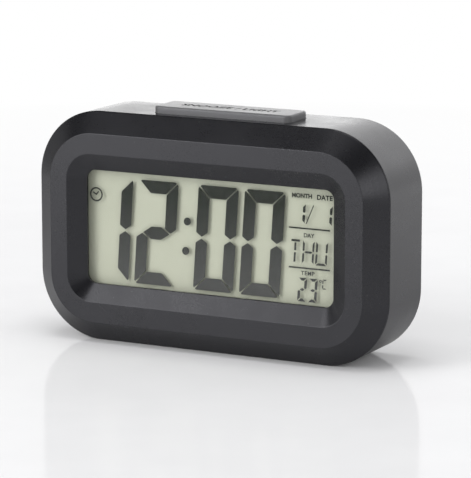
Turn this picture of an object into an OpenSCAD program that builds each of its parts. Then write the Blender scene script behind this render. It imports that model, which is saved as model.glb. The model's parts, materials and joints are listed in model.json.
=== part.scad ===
// Digital alarm clock with a wide snooze bar. Front faces -Y, +X to the right, +Z up,
// origin on the table under the middle of the whole clock. Sizes in millimetres.
//
// Most pieces are drawn lying on their face: x across, y up the clock and z the depth
// behind the front ring. stand() then sets them upright. What works from above, under
// the snooze bar, is drawn upright from the start and moved by under_bar().

/* [Case] */
// Width of the clock
case_w = 135; // [134:0.5:150]
// Height of the case without the snooze bar
case_h = 81.4; // [81:0.2:92]
// Depth from the front ring to the back face
case_d = 33; // [32.6:0.2:42]
// Radius of the four large corners, seen from the front
corner_r = 24; // [20:0.5:26]
// Wall thickness of the rear case
wall = 2; // [1.6:0.1:2.4]
// Rounding of the rear case's outer edges
edge_r = 0.7; // [0.3:0.1:1.2]

/* [Front bezel] */
// Depth of the outer slope
bevel_d = 5.9; // [4.5:0.1:6.5]
// Width of the outer slope, seen from the front
bevel_w = 7.15; // [5.5:0.05:7.6]
// Width of the flat ring left and right of the display
ring_side = 6.5; // [6.3:0.05:9]
// Width of the flat ring above and below the display
ring_top = 7.3; // [7:0.05:9]
// Corner radius of the display window
window_r = 3.4; // [2.2:0.1:5]
// Depth of the slope down to the window
slope_d = 3.9; // [3:0.1:4.4]
// Width of the slope down to the window
slope_w = 6.05; // [4:0.05:6.6]
// Wall thickness of the bezel, measured front to back
bezel_t = 1.8; // [1.4:0.1:2.2]
// Thickness of the bezel's lip over the edge of the display
lip_over = 1; // [0.8:0.1:1.4]
// How far the bezel's skirt reaches into the case
skirt_l = 2.8; // [2.5:0.1:5]
// Thickness of that skirt
skirt_t = 1.4; // [1:0.1:1.8]

/* [Display] */
// Thickness of each display glass
glass_t = 1.1; // [0.7:0.05:1.3]
// Thickness of a polarizer or reflector sheet
film_t = 0.2; // [0.15:0.01:0.3]
// How far the glass reaches past the window on each side
glass_margin = 4; // [3:0.1:4.4]
// Height of the contact ledge under the rear glass
ledge_h = 3; // [2.6:0.1:3.4]
// Thickness of the light guide
guide_t = 2.5; // [2:0.1:3.2]
// Wall of the holder round the display
holder_t = 1.5; // [1.1:0.1:1.7]
// Width of the rubber contact strip
zebra_w = 1.8; // [1.4:0.1:2]

/* [Boards] */
// Thickness of the circuit boards
board_t = 1.6; // [1:0.1:1.8]
// Radius of the posts that carry the main board
post_r = 2.6; // [2.2:0.1:2.8]
// Distance from the end of the main board to its posts
post_in = 6; // [5:0.5:10]
// Board left round a screw hole
board_rim = 3; // [2.6:0.1:3.2]

/* [Snooze bar] */
// Length of the snooze bar
bar_w = 52.4; // [44:0.2:54]
// Front to back depth of the snooze bar
bar_d = 14.6; // [13.4:0.2:15]
// Distance of the bar's middle to the right of the case's middle
bar_x = 1.5; // [-3:0.1:3]
// How far the bar stands above the case
bar_proud = 2.5; // [1.6:0.1:3.5]
// Corner radius of the bar, seen from above
bar_r = 2; // [1.6:0.1:3]
// Rounding of the bar's top edge
bar_edge = 0.6; // [0.3:0.1:0.9]
// How far the bar goes down
bar_travel = 0.8; // [0.4:0.1:1]
// Width of the lip that keeps the bar in
bar_lip = 1.4; // [1:0.1:1.6]
// Distance from the bar's middle to each spring
spring_x = 17; // [12:0.5:18]
// Radius of the snooze springs, to the middle of the wire
spring_r = 2.6; // [2.3:0.1:3]

/* [Keys and switch] */
// Radius of a rear key
key_r = 3; // [2.5:0.1:3.4]
// How far a key stands out of the back
key_proud = 1; // [0.8:0.1:1.6]
// How far a key goes in
key_travel = 0.5; // [0.3:0.1:0.7]
// Distance between neighbouring keys
key_pitch = 15; // [14:0.2:15.4]
// How far the row of keys is shifted to make room for the switch
key_shift = 10; // [8:0.5:12]
// Radius of the hollow in a key's top
dish_r = 10; // [7:0.5:14]
// How far the switch knob slides
switch_travel = 3; // [2:0.1:3.6]
// Side of a push switch's square body
tact_w = 6; // [5:0.1:6.4]
// Height of a push switch's body
tact_h = 3.5; // [3.1:0.1:3.8]

/* [Battery bay] */
// Diameter of a cell
cell_d = 10.5; // [10:0.1:10.6]
// Length of a cell with its button
cell_l = 44.5; // [43:0.1:45]
// Height of the bay's lowest inner face above the table
bay_y = 9.5; // [9:0.1:10]
// Thickness of the battery door
door_t = 1.8; // [1.5:0.1:2]
// How far the door covers the rim of the bay
door_lap = 2.6; // [2.4:0.1:2.8]
// How far the door swings before it lifts off, in degrees
door_swing = 60; // [30:5:75]

/* [Buzzer and vents] */
// Radius of the buzzer's brass plate
buzzer_r = 10; // [8:0.5:10.5]
// Height of the buzzer's middle above the table
buzzer_y = 32; // [28:0.5:34]
// Radius of a sound hole
sound_r = 0.8; // [0.6:0.05:1]
// Distance between the rings of sound holes
sound_pitch = 2.9; // [2.4:0.1:3.1]
// Length of a vent slot
vent_w = 14; // [8:0.5:16]
// Height of a vent slot
vent_h = 1.4; // [1:0.1:1.8]
// Distance between vent slots
vent_pitch = 3.2; // [2.6:0.1:4]

/* [Fasteners] */
// Shank radius of the case screws
screw_r = 1.3; // [1.1:0.05:1.5]
// Distance from the side of the case to a case screw
screw_in_x = 10; // [9.6:0.1:10.4]
// Distance from the top or bottom of the case to a case screw
screw_in_y = 12.5; // [12:0.1:13]
// Shank radius of the board screws
pin_r = 1; // [0.8:0.05:1.1]

/* [Clearances] */
// Gap round a key, knob, bar or door in its opening
gap = 0.2; // [0.12:0.01:0.25]
// Gap between the bezel's skirt and the case
skirt_gap = 0.1; // [0.05:0.01:0.15]
// Gap under the wall behind a key's or the bar's lip
stop_gap = 0.15; // [0.1:0.01:0.2]
// Running gap round a push switch's plunger
plunger_gap = 0.08; // [0.05:0.01:0.1]
// Gap between stacked flat pieces
stack_gap = 0.05; // [0.02:0.01:0.08]

/* [Hidden] */
$fn = 64;

// The whole clock reaches from the front ring to the tips of the rear keys
front_y = -(case_d + key_proud) / 2;
mid_y = case_h / 2;
back_in = case_d - wall;          // inner face of the back wall
top_in = case_h - wall;           // inner face of the top wall

// Bezel
ring_w = case_w - 2 * bevel_w;    // outer edge of the flat ring
ring_h = case_h - 2 * bevel_w;
ring_r = corner_r - bevel_w;
window_w = ring_w - 2 * (ring_side + slope_w);
window_h = ring_h - 2 * (ring_top + slope_w);
skirt_z = bevel_d * (1 - (wall + skirt_gap) / bevel_w) + 0.2;
skirt_end = bevel_d + skirt_l;

// Display stack, front to back
seat_z = slope_d + lip_over;      // the bezel's seat for the display
lcd_z = seat_z + stack_gap;
front_glass_z = lcd_z + film_t;
rear_glass_z = front_glass_z + glass_t;
rear_film_z = rear_glass_z + glass_t;
guide_z = rear_film_z + film_t + 2 * stack_gap;
reflector_z = guide_z + guide_t;
board_z = reflector_z + film_t + 0.35;
board_back = board_z + board_t;
glass_w = window_w + 2 * glass_margin;
glass_top = mid_y + window_h / 2 + glass_margin;
glass_low = mid_y - window_h / 2 - glass_margin;
ledge_low = glass_low - ledge_h;
film_inset = 1.6;                 // the sheets stop short of the glass
holder_gap = 0.2;
holder_w = glass_w + 2 * (holder_gap + holder_t);
holder_top = glass_top + holder_gap + holder_t;
holder_low = ledge_low - holder_gap - holder_t;
led_w = 2;                        // a light's size along x
led_l = 3.4;
guide_w = glass_w - 2 * (led_w + 0.8);

// Main board and its posts. The board is as long as the contact strip.
zebra_in = 6;                     // the strip stops short of the glass at each end
main_w = glass_w - 2 * zebra_in + 0.4;
post_x = main_w / 2 - post_in;
post_gap = 0.3;
post_top = holder_top + post_gap + post_r;
post_low = holder_low - post_gap - post_r;
main_top = post_top + board_rim;
main_low = post_low - board_rim;

chip_l = 2;                       // length of a chip resistor

// Case screws
screw_x = case_w / 2 - screw_in_x;
screw_ys = [screw_in_y, case_h - screw_in_y];
tower_r = screw_r + 2.3;
head_r = 2 * screw_r;
tower_z = case_d - 15;            // where tower and bezel boss meet
tower_floor = 2;
screw_l = 11;
head_h = 1.8;
pin_head_r = 2.1 * pin_r;
pin_head_h = 1.3;
pin_l = 6;

// Push switches
plunger_r = 1.75;
plunger_h = 0.8;
plunger_in = 0.5;                 // how far a plunger sits in its switch at rest

// Battery bay: three cells lie side by side along x
cell_pitch = cell_d + 0.5;
spring_room = 6.6;                // length of a contact spring
strip_t = 0.4;                    // thickness of a contact strip
bay_w = cell_l + spring_room + 2 * (strip_t + stack_gap);
bay_h = 3 * cell_pitch;
bay_wall = 1.5;
door_in = case_d - door_t;        // inner face of the door
bay_floor = door_in - cell_d - 0.7;
door_w = bay_w + 2 * door_lap;
door_low = bay_y - door_lap;
door_top = bay_y + bay_h + door_lap;
door_r = 2;
rim_t = 2;                        // thickness of the rim that the door rests on
rim_w = 2.4;                      // how far that rim reaches past the door
tab_x = 16;                       // the door's two tabs
tab_w = 8;
tab_l = 1.6;
tab_t = 1.3;
tab_z = back_in - 0.3 - tab_t;
latch_w = 10;                     // the door's springy tongue
latch_t = 0.9;
latch_bend = 1.5;                 // gap between the tongue's two legs
latch_z = door_in - 5;
latch_room = 0.8;
cell_z = bay_floor + 0.2 + cell_d / 2;
pad_half = 4.2;                   // half the side of a battery contact plate
tail_l = 1.6;                     // a terminal's tail behind the bay's wall

// Snooze bar: its lip lies just behind the bezel's skirt
lip_room = 0.3;
bar_mid = skirt_end + lip_room + bar_lip + bar_d / 2;
bar_top = case_h + bar_proud;
bar_y = front_y + bar_mid;
bar_wall = 1.5;
bar_roof = 1.8;
bar_roof_in = bar_top - bar_roof;
lip_low = top_in - stop_gap - 1.2;
sn_board_t = 1.2;
sn_board_top = case_h - 13.2;
sn_board_low = sn_board_top - sn_board_t;
sn_post_x = bar_w / 2 + bar_lip + 3.8;
sn_board_w = 2 * (sn_post_x + board_rim);
sn_board_d = 9.6;
sn_tact_top = sn_board_top + tact_h;
sn_plunger_top = sn_tact_top + plunger_h;
spigot_r = 1.5;                   // the bar's spigots inside its springs
spigot_l = 5;
rib_l = 11;                       // the bar's cross of ribs over its plunger
wire_r = 0.3;                     // wire of the snooze springs

// Keys, their board and the alarm switch, midway between the door's latch and the
// snooze board above
key_y = (door_top + latch_bend + latch_t + latch_room + sn_board_low - pin_head_h) / 2;
dish_deep = 0.3;
key_xs = [for (i = [0:4]) (i - 2) * key_pitch - key_shift];
lip_t = 1;
key_lip = 1;
key_lip_top = back_in - stop_gap;
pusher_l = 1.2;                   // from a key's lip to its plunger
tact_top = key_lip_top - lip_t - pusher_l - plunger_h;
key_board_back = tact_top - tact_h;
key_board_z = key_board_back - board_t;
key_board_l = key_xs[0] - 6;
switch_x = key_xs[4] + 20;
key_board_r = switch_x + 9;
key_board_h = 11;
key_posts = [key_xs[0] + key_pitch / 2, key_xs[2] + key_pitch / 2, key_xs[4] + 9.6];
ribbon_w = 8;
ribbon_t = 1;
ribbon_x = key_xs[1] + 5;         // the cable's left edge, between two keys
knob_w = 4;
knob_h = 3.6;
knob_lip = 1.4;
knob_proud = key_proud - 0.2;
slider_w = 8.6;
slider_h = 3.8;
slider_top = key_board_back + 3.4;
stem_w = 2;                       // the knob's stem inside the slide switch
stem_h = 1.4;

// Buzzer and vents, each midway between the bay's rim and the side of the case
buzzer_x = (door_w / 2 + rim_w + case_w / 2 - wall) / 2;
buzzer_z = back_in - 1.6;
buzzer_wire_x = [buzzer_x - 0.4 * buzzer_r, buzzer_x - 0.84 * buzzer_r];

// ---------- helpers ----------

// From lying on its face to standing on the table
module stand() translate([0, front_y, 0]) rotate([90, 0, 0]) mirror([0, 0, 1]) children();

// Upright pieces, drawn round the snooze bar's own middle
module under_bar() translate([bar_x, bar_y, 0]) children();

// A flat outline between two depths
module slab(z0, z1) translate([0, 0, z0]) linear_extrude(z1 - z0) children();

// Rounded rectangle about the origin
module rounded(w, h, r) {
    square([w - 2 * r, h], center = true);
    square([w, h - 2 * r], center = true);
    for (sx = [-1, 1], sy = [-1, 1])
        translate([sx * (w / 2 - r), sy * (h / 2 - r)]) circle(r);
}

// Box from its lowest corner to its highest
module box(a, b) translate(a) cube(b - a);

// Plate as wide on the left as on the right
module flat(half, y0, y1, z0, t) box([-half, y0, z0], [half, y1, z0 + t]);

// One straight side of edged(): the profile pulled along y
module edge_run(off, half)
    translate([off, half, 0]) rotate([90, 0, 0]) linear_extrude(2 * half) children();

// Rounded rectangular block, z0 to z1, whose edge follows a profile. The profile's
// x is the distance from the corner's centre, and its y is z.
module edged(w, h, r, z0, z1) {
    hx = w / 2 - r;
    hy = h / 2 - r;
    box([-hx, -hy, z0], [hx, hy, z1]);
    for (turn = [0, 180]) rotate([0, 0, turn]) {
        edge_run(hx, hy) children();
        rotate([0, 0, 90]) edge_run(hy, hx) children();
        translate([hx, hy, 0]) rotate_extrude(angle = 90) children();
        translate([-hx, hy, 0]) rotate([0, 0, 90]) rotate_extrude(angle = 90) children();
    }
}

// Block whose outline grows from w0 at z0 to w0 + 2 * grow at z1
module tapered(w0, h0, r0, grow, z0, z1)
    edged(w0, h0, r0, z0, z1)
        polygon([[0, z0], [r0, z0], [r0 + grow, z1], [0, z1]]);

// Screw with a domed head, its shank pointing along -z from the origin
module screw(shank_r, shank_l, top_r, top_h) {
    difference() {
        union() {
            translate([0, 0, -shank_l]) cylinder(r = shank_r, h = shank_l);
            cylinder(r = top_r, h = top_h * 0.6);
            translate([0, 0, top_h * 0.6])
                cylinder(r1 = top_r, r2 = top_r * 0.65, h = top_h * 0.4);
        }
        for (turn = [0, 90]) rotate([0, 0, turn])
            translate([0, 0, top_h]) cube([top_r * 1.1, top_r * 0.26, top_h], center = true);
    }
}

// Push switch body on a board at z = 0, with the bore that its plunger runs in
module tact(travel) {
    bore = plunger_in + travel + 0.3;
    difference() {
        union() {
            translate([-tact_w / 2, -tact_w / 2, 0]) cube([tact_w, tact_w, tact_h - 0.4]);
            cylinder(r = tact_w * 0.4, h = tact_h);
        }
        translate([0, 0, tact_h - bore]) cylinder(r = plunger_r + plunger_gap, h = bore + 1);
        for (sx = [-1, 1], sy = [-1, 1])
            translate([sx * tact_w * 0.37, sy * tact_w * 0.37, tact_h - 0.8])
                cylinder(r = 0.45, h = 1);
    }
}

// Plunger of a push switch whose body ends at z = 0
module plunger() translate([0, 0, -plunger_in]) cylinder(r = plunger_r, h = plunger_in + plunger_h);

// Round tube with few sides along a list of points
function unit(v) = v / norm(v);
function along(p, i) =
    let (a = p[max(i - 1, 0)], b = p[min(i + 1, len(p) - 1)]) unit(b - a);
function ring_at(p, i, r, sides, side) =
    let (t = along(p, i), u = unit(side - (side * t) * t), v = cross(t, u))
    [for (k = [0:sides - 1]) p[i] + r * (cos(360 * k / sides) * u + sin(360 * k / sides) * v)];
module tube(p, r, side = [0.31, 0.17, 0.93], sides = 8) {
    n = len(p);
    polyhedron(
        points = [for (i = [0:n - 1]) each ring_at(p, i, r, sides, side)],
        faces = concat(
            [[for (k = [0:sides - 1]) k]],
            [for (i = [0:n - 2], k = [0:sides - 1])
                let (a = i * sides + k, b = i * sides + (k + 1) % sides)
                each [[a + sides, b + sides, b], [a + sides, b, a]]],
            [[for (k = [sides - 1:-1:0]) (n - 1) * sides + k]]));
}

// Points on a smooth curve through four control points
function bend(a, b, c, d, n = 8) =
    [for (i = [0:n]) let (t = i / n, s = 1 - t)
        s * s * s * a + 3 * s * s * t * b + 3 * s * t * t * c + t * t * t * d];

// Points of a coil along z with flat closed ends, from radius r0 to r1
function coil(r0, r1, len, wire, turns, steps = 10) =
    [for (i = [0:turns * steps])
        let (t = i / (turns * steps), lift = min(max((t * turns - 0.7) / (turns - 1.4), 0), 1),
             r = r0 + (r1 - r0) * t)
        [r * cos(360 * t * turns), r * sin(360 * t * turns), wire + (len - 2 * wire) * lift]];

// ---------- front bezel ----------

// Everything behind the bezel's front face, from 0 to bevel_d
module face_block() {
    steep = slope_w / slope_d;
    translate([0, mid_y, 0]) difference() {
        tapered(ring_w, ring_h, ring_r, bevel_w, 0, bevel_d);
        tapered(window_w + 2 * (slope_w + steep), window_h + 2 * (slope_w + steep),
                window_r + slope_w + steep, -(slope_w + steep), -1, slope_d);
    }
}

// The outer slope carried on backwards, to trim what grows out of the bezel
module slope_beyond() {
    deep = tower_z + 1;
    translate([0, mid_y, 0.6])
        tapered(ring_w, ring_h, ring_r, bevel_w * deep / bevel_d, 0, deep);
}

module at_case_screws()
    for (sx = [-1, 1], y = screw_ys) translate([sx * screw_x, y, 0]) children();

module at_posts()
    for (sx = [-1, 1], y = [post_low, post_top]) translate([sx * post_x, y, 0]) children();

module front_bezel() color("#3c3c3e") stand() difference() {
    union() {
        difference() {
            face_block();
            translate([0, 0, bezel_t]) face_block();
            translate([0, mid_y, 0]) slab(0, bevel_d + 1) rounded(window_w, window_h, window_r);
            flat(holder_w / 2 + holder_gap, holder_low - holder_gap, holder_top + holder_gap,
                 seat_z, bezel_t);
        }
        translate([0, mid_y, 0]) slab(skirt_z, skirt_end) difference() {
            inset = wall + skirt_gap;
            rounded(case_w - 2 * inset, case_h - 2 * inset, corner_r - inset);
            rounded(case_w - 2 * (inset + skirt_t), case_h - 2 * (inset + skirt_t),
                    corner_r - inset - skirt_t);
        }
        intersection() {
            union() {
                at_case_screws() cylinder(r = tower_r - 0.4, h = tower_z);
                at_posts() cylinder(r = post_r, h = board_z);
            }
            slope_beyond();
        }
    }
    at_case_screws() translate([0, 0, tower_z + tower_floor - screw_l - 0.5])
        cylinder(r = screw_r + 0.02, h = screw_l);
    at_posts() translate([0, 0, board_back - pin_l - 0.5]) cylinder(r = pin_r + 0.02, h = pin_l);
}

// ---------- display ----------

module lcd_front_polarizer() color("#b9c2a8") stand()
    flat(glass_w / 2 - film_inset, ledge_low + film_inset, glass_top - film_inset, lcd_z, film_t);

module lcd_front_glass() color("#c4ccb8") stand()
    flat(glass_w / 2, ledge_low, glass_top, front_glass_z, glass_t);

module lcd_rear_glass() color("#c4ccb8") stand()
    flat(glass_w / 2, glass_low, glass_top, rear_glass_z, glass_t);

module lcd_rear_polarizer() color("#aab39a") stand()
    flat(glass_w / 2 - film_inset, glass_low + film_inset, glass_top - film_inset,
         rear_film_z, film_t);

module light_guide() color("#e6ebe6") stand()
    flat(guide_w / 2, glass_low + 1, glass_top - 1, guide_z, guide_t);

module light_reflector() color("white") stand()
    flat(guide_w / 2, glass_low + 1, glass_top - 1, reflector_z, film_t);

module backlight_leds() color("#f4f2d8") stand()
    for (sx = [-1, 1], sy = [-1, 1]) {
        x = sx * (guide_w / 2 + 0.2 + led_w / 2);
        y = (glass_low + glass_top) / 2 + sy * (glass_top - glass_low) / 4;
        difference() {
            box([x - led_w / 2, y - led_l / 2, guide_z + 0.1],
                [x + led_w / 2, y + led_l / 2, board_z]);
            translate([x - sx * led_w / 2, y, (guide_z + board_z) / 2])
                cube([0.6, led_l * 0.7, (board_z - guide_z) * 0.6], center = true);
        }
    }

module lcd_holder() color("#ececea") stand() {
    low = ledge_low - holder_gap;
    high = glass_top + holder_gap;
    half = glass_w / 2 + holder_gap;
    difference() {
        box([-half - holder_t, holder_low, lcd_z], [half + holder_t, holder_top, board_z - stack_gap]);
        box([-half, low, lcd_z - 1], [half, high, board_z + 1]);
        // Reliefs that let the frame flex over the glass
        for (sx = [-1, 1], y = [low - holder_t - 1, high - 0.05])
            box([sx * 24 - 5, y, board_z - 1.6], [sx * 24 + 5, y + holder_t + 1.05, board_z + 1]);
    }
}

module zebra_strip() color("#e07fa0") stand()
    box([-glass_w / 2 + zebra_in, ledge_low + 0.6, rear_glass_z],
        [glass_w / 2 - zebra_in, ledge_low + 0.6 + zebra_w, board_z]);

// ---------- main board ----------

module main_board() color("#1f6b3a") stand() difference() {
    translate([0, (main_low + main_top) / 2, 0])
        slab(board_z, board_back) rounded(main_w, main_top - main_low, 1.5);
    at_posts() translate([0, 0, board_z - 1]) cylinder(r = pin_r + 0.2, h = board_t + 2);
}

module board_screws() color("silver") stand()
    at_posts() translate([0, 0, board_back]) screw(pin_r, pin_l, pin_head_r, pin_head_h);

module chip_blob() color("#141414") stand() {
    base_r = 6;
    high = 1.5;
    dome_r = (base_r * base_r + high * high) / (2 * high);
    translate([6, mid_y + 6, 0]) intersection() {
        translate([0, 0, board_back + high - dome_r]) sphere(dome_r, $fn = 200);
        translate([0, 0, board_back]) cylinder(r = base_r + 1, h = high + 1);
    }
}

module crystal() color("silver") stand()
    translate([18, mid_y + 6, board_back + 1.05]) rotate([0, 90, 0]) cylinder(r = 1, h = 6);

module capacitor() color("#20284a") stand()
    translate([-post_x + 3, mid_y + 5, board_back]) cylinder(r = 2.5, h = 5);

module thermistor() color("#7a4a1c") stand() {
    bead_r = 1.3;
    leg = 5;
    translate([-post_x - 1, mid_y - 6, board_back]) {
        translate([0, 0, leg]) sphere(bead_r);
        for (sy = [-1, 1]) translate([0, 0.6 * bead_r * sy, 0])
            cylinder(r = 0.25, h = leg - 0.3 * bead_r);
    }
}

module chip_resistors() color("#2a2a2a") stand()
    for (i = [0:5])
        translate([(2 * i - 11) * chip_l, mid_y - chip_l / 2, board_back])
            cube([0.65 * chip_l, chip_l, 0.5]);

// ---------- rear case ----------

module case_outer() translate([0, mid_y, 0])
    edged(case_w, case_h, corner_r, bevel_d, case_d) {
        translate([0, bevel_d + edge_r]) square([corner_r, case_d - bevel_d - 2 * edge_r]);
        translate([0, bevel_d]) square([corner_r - edge_r, case_d - bevel_d]);
        for (z = [bevel_d + edge_r, case_d - edge_r])
            translate([corner_r - edge_r, z]) circle(edge_r);
    }

// Upright cylinder hanging in the case, y1 down to y0, at depth z
module hanging(x, z, y0, y1, r)
    translate([x, y1, z]) rotate([90, 0, 0]) cylinder(r = r, h = y1 - y0);

module at_sound_holes() translate([buzzer_x, buzzer_y, 0]) {
    children();
    for (ring = [1, 2], k = [0:6 * ring - 1]) rotate([0, 0, 60 * k / ring])
        translate([sound_pitch * ring * (ring == 2 && k % 2 == 1 ? cos(30) : 1), 0, 0]) children();
}

module door_outline(grow) translate([0, (door_low + door_top) / 2])
    rounded(door_w + 2 * grow, door_top - door_low + 2 * grow, door_r + grow);

function row_y(i) = bay_y + cell_pitch * (i + 0.5);

// What stands on the case's inner faces
module case_inside() {
    at_case_screws() translate([0, 0, tower_z]) cylinder(r = tower_r, h = case_d - tower_z - 1);
    // Webs tie each screw tower to the case's side and to its top or bottom
    intersection() {
        at_case_screws() for (turn = [0, 90]) rotate([0, 0, turn])
            box([-screw_in_y, -0.6, tower_z + 3], [screw_in_y, 0.6, case_d - 1]);
        translate([0, mid_y, 0]) slab(tower_z, case_d) difference() {
            rounded(case_w - wall, case_h - wall, corner_r - wall / 2);
            square([2 * screw_x, case_h - 2 * screw_in_y], center = true);
            square([2 * screw_x - 2 * tower_r, case_h], center = true);
        }
    }
    box([-bay_w / 2 - bay_wall, bay_y - bay_wall, bay_floor - bay_wall],
        [bay_w / 2 + bay_wall, bay_y + bay_h + bay_wall, case_d - 1]);
    slab(door_in - rim_t, case_d - 1) door_outline(rim_w);
    for (x = key_posts) translate([x, key_y, key_board_back])
        cylinder(r = pin_r + 1.4, h = case_d - 1 - key_board_back);
    for (sx = [-1, 1])
        hanging(bar_x + sx * sn_post_x, bar_mid, sn_board_top, case_h - 1, pin_r + 1.4);
    translate([buzzer_x, buzzer_y, buzzer_z - 1.5])
        cylinder(r = buzzer_r + 1.6, h = case_d - 1 - buzzer_z + 1.5);
}

module case_cuts() {
    at_case_screws() {
        translate([0, 0, tower_z + tower_floor]) cylinder(r = head_r + 0.2, h = case_d);
        translate([0, 0, tower_z - 1]) cylinder(r = screw_r + 0.2, h = tower_floor + 2);
    }
    // Bay, door seat, tab pockets and latch notch
    box([-bay_w / 2, bay_y, bay_floor], [bay_w / 2, bay_y + bay_h, case_d + 1]);
    slab(door_in, case_d + 1) door_outline(gap);
    for (sx = [-1, 1]) {
        half = tab_w / 2 + 0.3;
        low = door_low - tab_l - 0.4;
        box([sx * tab_x - half, low, door_in - rim_t - 1], [sx * tab_x + half, bay_y + 1, back_in]);
        box([sx * tab_x - half, door_low - gap, back_in - 1],
            [sx * tab_x + half, bay_y + 1, door_in + 0.1]);
    }
    box([-latch_w / 2 - 0.4, door_top - latch_t - 0.15, latch_z - 1.5],
        [latch_w / 2 + 0.4, door_top + latch_bend + latch_t + latch_room, case_d + 1]);
    for (end = [[-1, 0], [1, 2]])
        translate([end[0] * (bay_w / 2 + bay_wall / 2), row_y(end[1]), cell_z])
            cube([bay_wall + 1, 2.2, strip_t + 0.2], center = true);
    // Keys and switch knob
    for (x = key_xs) translate([x, key_y, back_in - 1]) cylinder(r = key_r + gap, h = wall + 2);
    box([switch_x - (switch_travel + knob_w) / 2 - gap, key_y - knob_h / 2 - gap, back_in - 1],
        [switch_x + (switch_travel + knob_w) / 2 + gap, key_y + knob_h / 2 + gap, case_d + 1]);
    // Snooze bar
    translate([bar_x, case_h + 1, bar_mid]) rotate([90, 0, 0]) linear_extrude(wall + 2)
        rounded(bar_w + 2 * gap, bar_d + 2 * gap, bar_r + gap);
    // Sound holes, buzzer seat and vents
    translate([0, 0, back_in - 1]) at_sound_holes() cylinder(r = sound_r, h = wall + 2);
    translate([buzzer_x, buzzer_y, 0]) {
        translate([0, 0, buzzer_z - 2]) cylinder(r = buzzer_r + 0.1, h = 2);
        translate([0, 0, buzzer_z - 1]) cylinder(r = buzzer_r - 1.2, h = back_in - buzzer_z + 1);
    }
    for (i = [-2:2]) translate([-buzzer_x, buzzer_y + i * vent_pitch, 0])
        slab(back_in - 1, case_d + 1) rounded(vent_w, vent_h, vent_h / 2 - 0.01);
    // Pilot holes
    for (x = key_posts) translate([x, key_y, key_board_back - 1])
        cylinder(r = pin_r + 0.02, h = pin_l - board_t + 1.5);
    for (sx = [-1, 1])
        hanging(bar_x + sx * sn_post_x, bar_mid, sn_board_top - 1, sn_board_top + pin_l - 0.7,
                pin_r + 0.02);
}

module rear_case() color("#444446") stand() {
    difference() {
        union() {
            difference() {
                case_outer();
                translate([0, mid_y, 0]) slab(bevel_d - 1, back_in)
                    rounded(case_w - 2 * wall, case_h - 2 * wall, corner_r - wall);
            }
            case_inside();
        }
        case_cuts();
    }
    // Ridges that part the cells
    for (i = [1, 2]) translate([0, bay_y + cell_pitch * i, bay_floor - 0.2])
        rotate([90, 0, 90]) translate([0, 0, -cell_l / 4]) linear_extrude(cell_l / 2)
            polygon([[-1.4, 0], [1.4, 0], [0.2, 2.4], [-0.2, 2.4]]);
}

module case_screws() color("#8f8f92") stand()
    at_case_screws() translate([0, 0, tower_z + tower_floor])
        screw(screw_r, screw_l, head_r, head_h);

// ---------- snooze bar ----------

module bar_profile() {
    high = bar_top - lip_low;
    translate([0, lip_low]) {
        square([bar_r, high - bar_edge]);
        square([bar_r - bar_edge, high]);
        translate([bar_r - bar_edge, high - bar_edge]) circle(bar_edge);
    }
}

module snooze_bar() color("#161617") under_bar() {
    difference() {
        union() {
            edged(bar_w, bar_d, bar_r, lip_low, bar_top) bar_profile();
            slab(lip_low, top_in - stop_gap)
                rounded(bar_w + 2 * bar_lip, bar_d + 2 * bar_lip, bar_r + bar_lip);
        }
        slab(lip_low - 1, bar_roof_in)
            rounded(bar_w - 2 * bar_wall, bar_d - 2 * bar_wall, max(bar_r - bar_wall, 0.4));
    }
    for (sx = [-1, 1]) translate([sx * spring_x, 0, bar_roof_in - spigot_l])
        cylinder(r = spigot_r, h = spigot_l + 0.2);
    translate([0, 0, sn_plunger_top]) cylinder(r = 2.2, h = bar_roof_in - sn_plunger_top + 0.2);
    for (turn = [0, 90]) rotate([0, 0, turn])
        translate([0, 0, bar_roof_in - 2]) cube([rib_l, 1.2, 4.4], center = true);
}

module snooze_springs() color("#c9c9cc") under_bar()
    for (sx = [-1, 1]) translate([sx * spring_x, 0, sn_board_top])
        tube(coil(spring_r, spring_r, bar_roof_in - sn_board_top, wire_r, 5), wire_r, sides = 6);

module snooze_board() color("#1f6b3a") under_bar() difference() {
    slab(sn_board_low, sn_board_top) rounded(sn_board_w, sn_board_d, 1);
    for (sx = [-1, 1]) translate([sx * sn_post_x, 0, sn_board_low - 1])
        cylinder(r = pin_r + 0.2, h = sn_board_t + 2);
}

module snooze_board_screws() color("silver") under_bar()
    for (sx = [-1, 1]) translate([sx * sn_post_x, 0, sn_board_low])
        mirror([0, 0, 1]) screw(pin_r, pin_l, pin_head_r, pin_head_h);

module snooze_switch() color("#2b2b2d") under_bar()
    translate([0, 0, sn_board_top]) tact(bar_travel);

module snooze_plunger() color("#d9d2bd") under_bar() translate([0, 0, sn_tact_top]) plunger();

// Two wires from the snooze board down to the main board
module snooze_wires() color("#d8d8d8") stand() {
    y = sn_board_low - 0.1;
    z = board_back + 0.1;
    rise = bar_mid - board_back - 3;
    for (x = [-11, -8])
        tube(bend([x, y, z + rise], [x, y - rise, z + rise],
                  [x, y - 1.4 * rise, z + 0.7 * rise], [x, y - 1.4 * rise, z]), 0.5);
}

// ---------- rear keys ----------

module key_board() color("#1f6b3a") stand() difference() {
    translate([(key_board_l + key_board_r) / 2, key_y, 0])
        slab(key_board_z, key_board_back) rounded(key_board_r - key_board_l, key_board_h, 1);
    for (x = key_posts) translate([x, key_y, key_board_z - 1])
        cylinder(r = pin_r + 0.2, h = board_t + 2);
}

module key_board_screws() color("silver") stand()
    for (x = key_posts) translate([x, key_y, key_board_z])
        mirror([0, 0, 1]) screw(pin_r, pin_l, pin_head_r, pin_head_h);

module key_switches() color("#2b2b2d") stand()
    for (x = key_xs) translate([x, key_y, key_board_back]) tact(key_travel);

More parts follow.
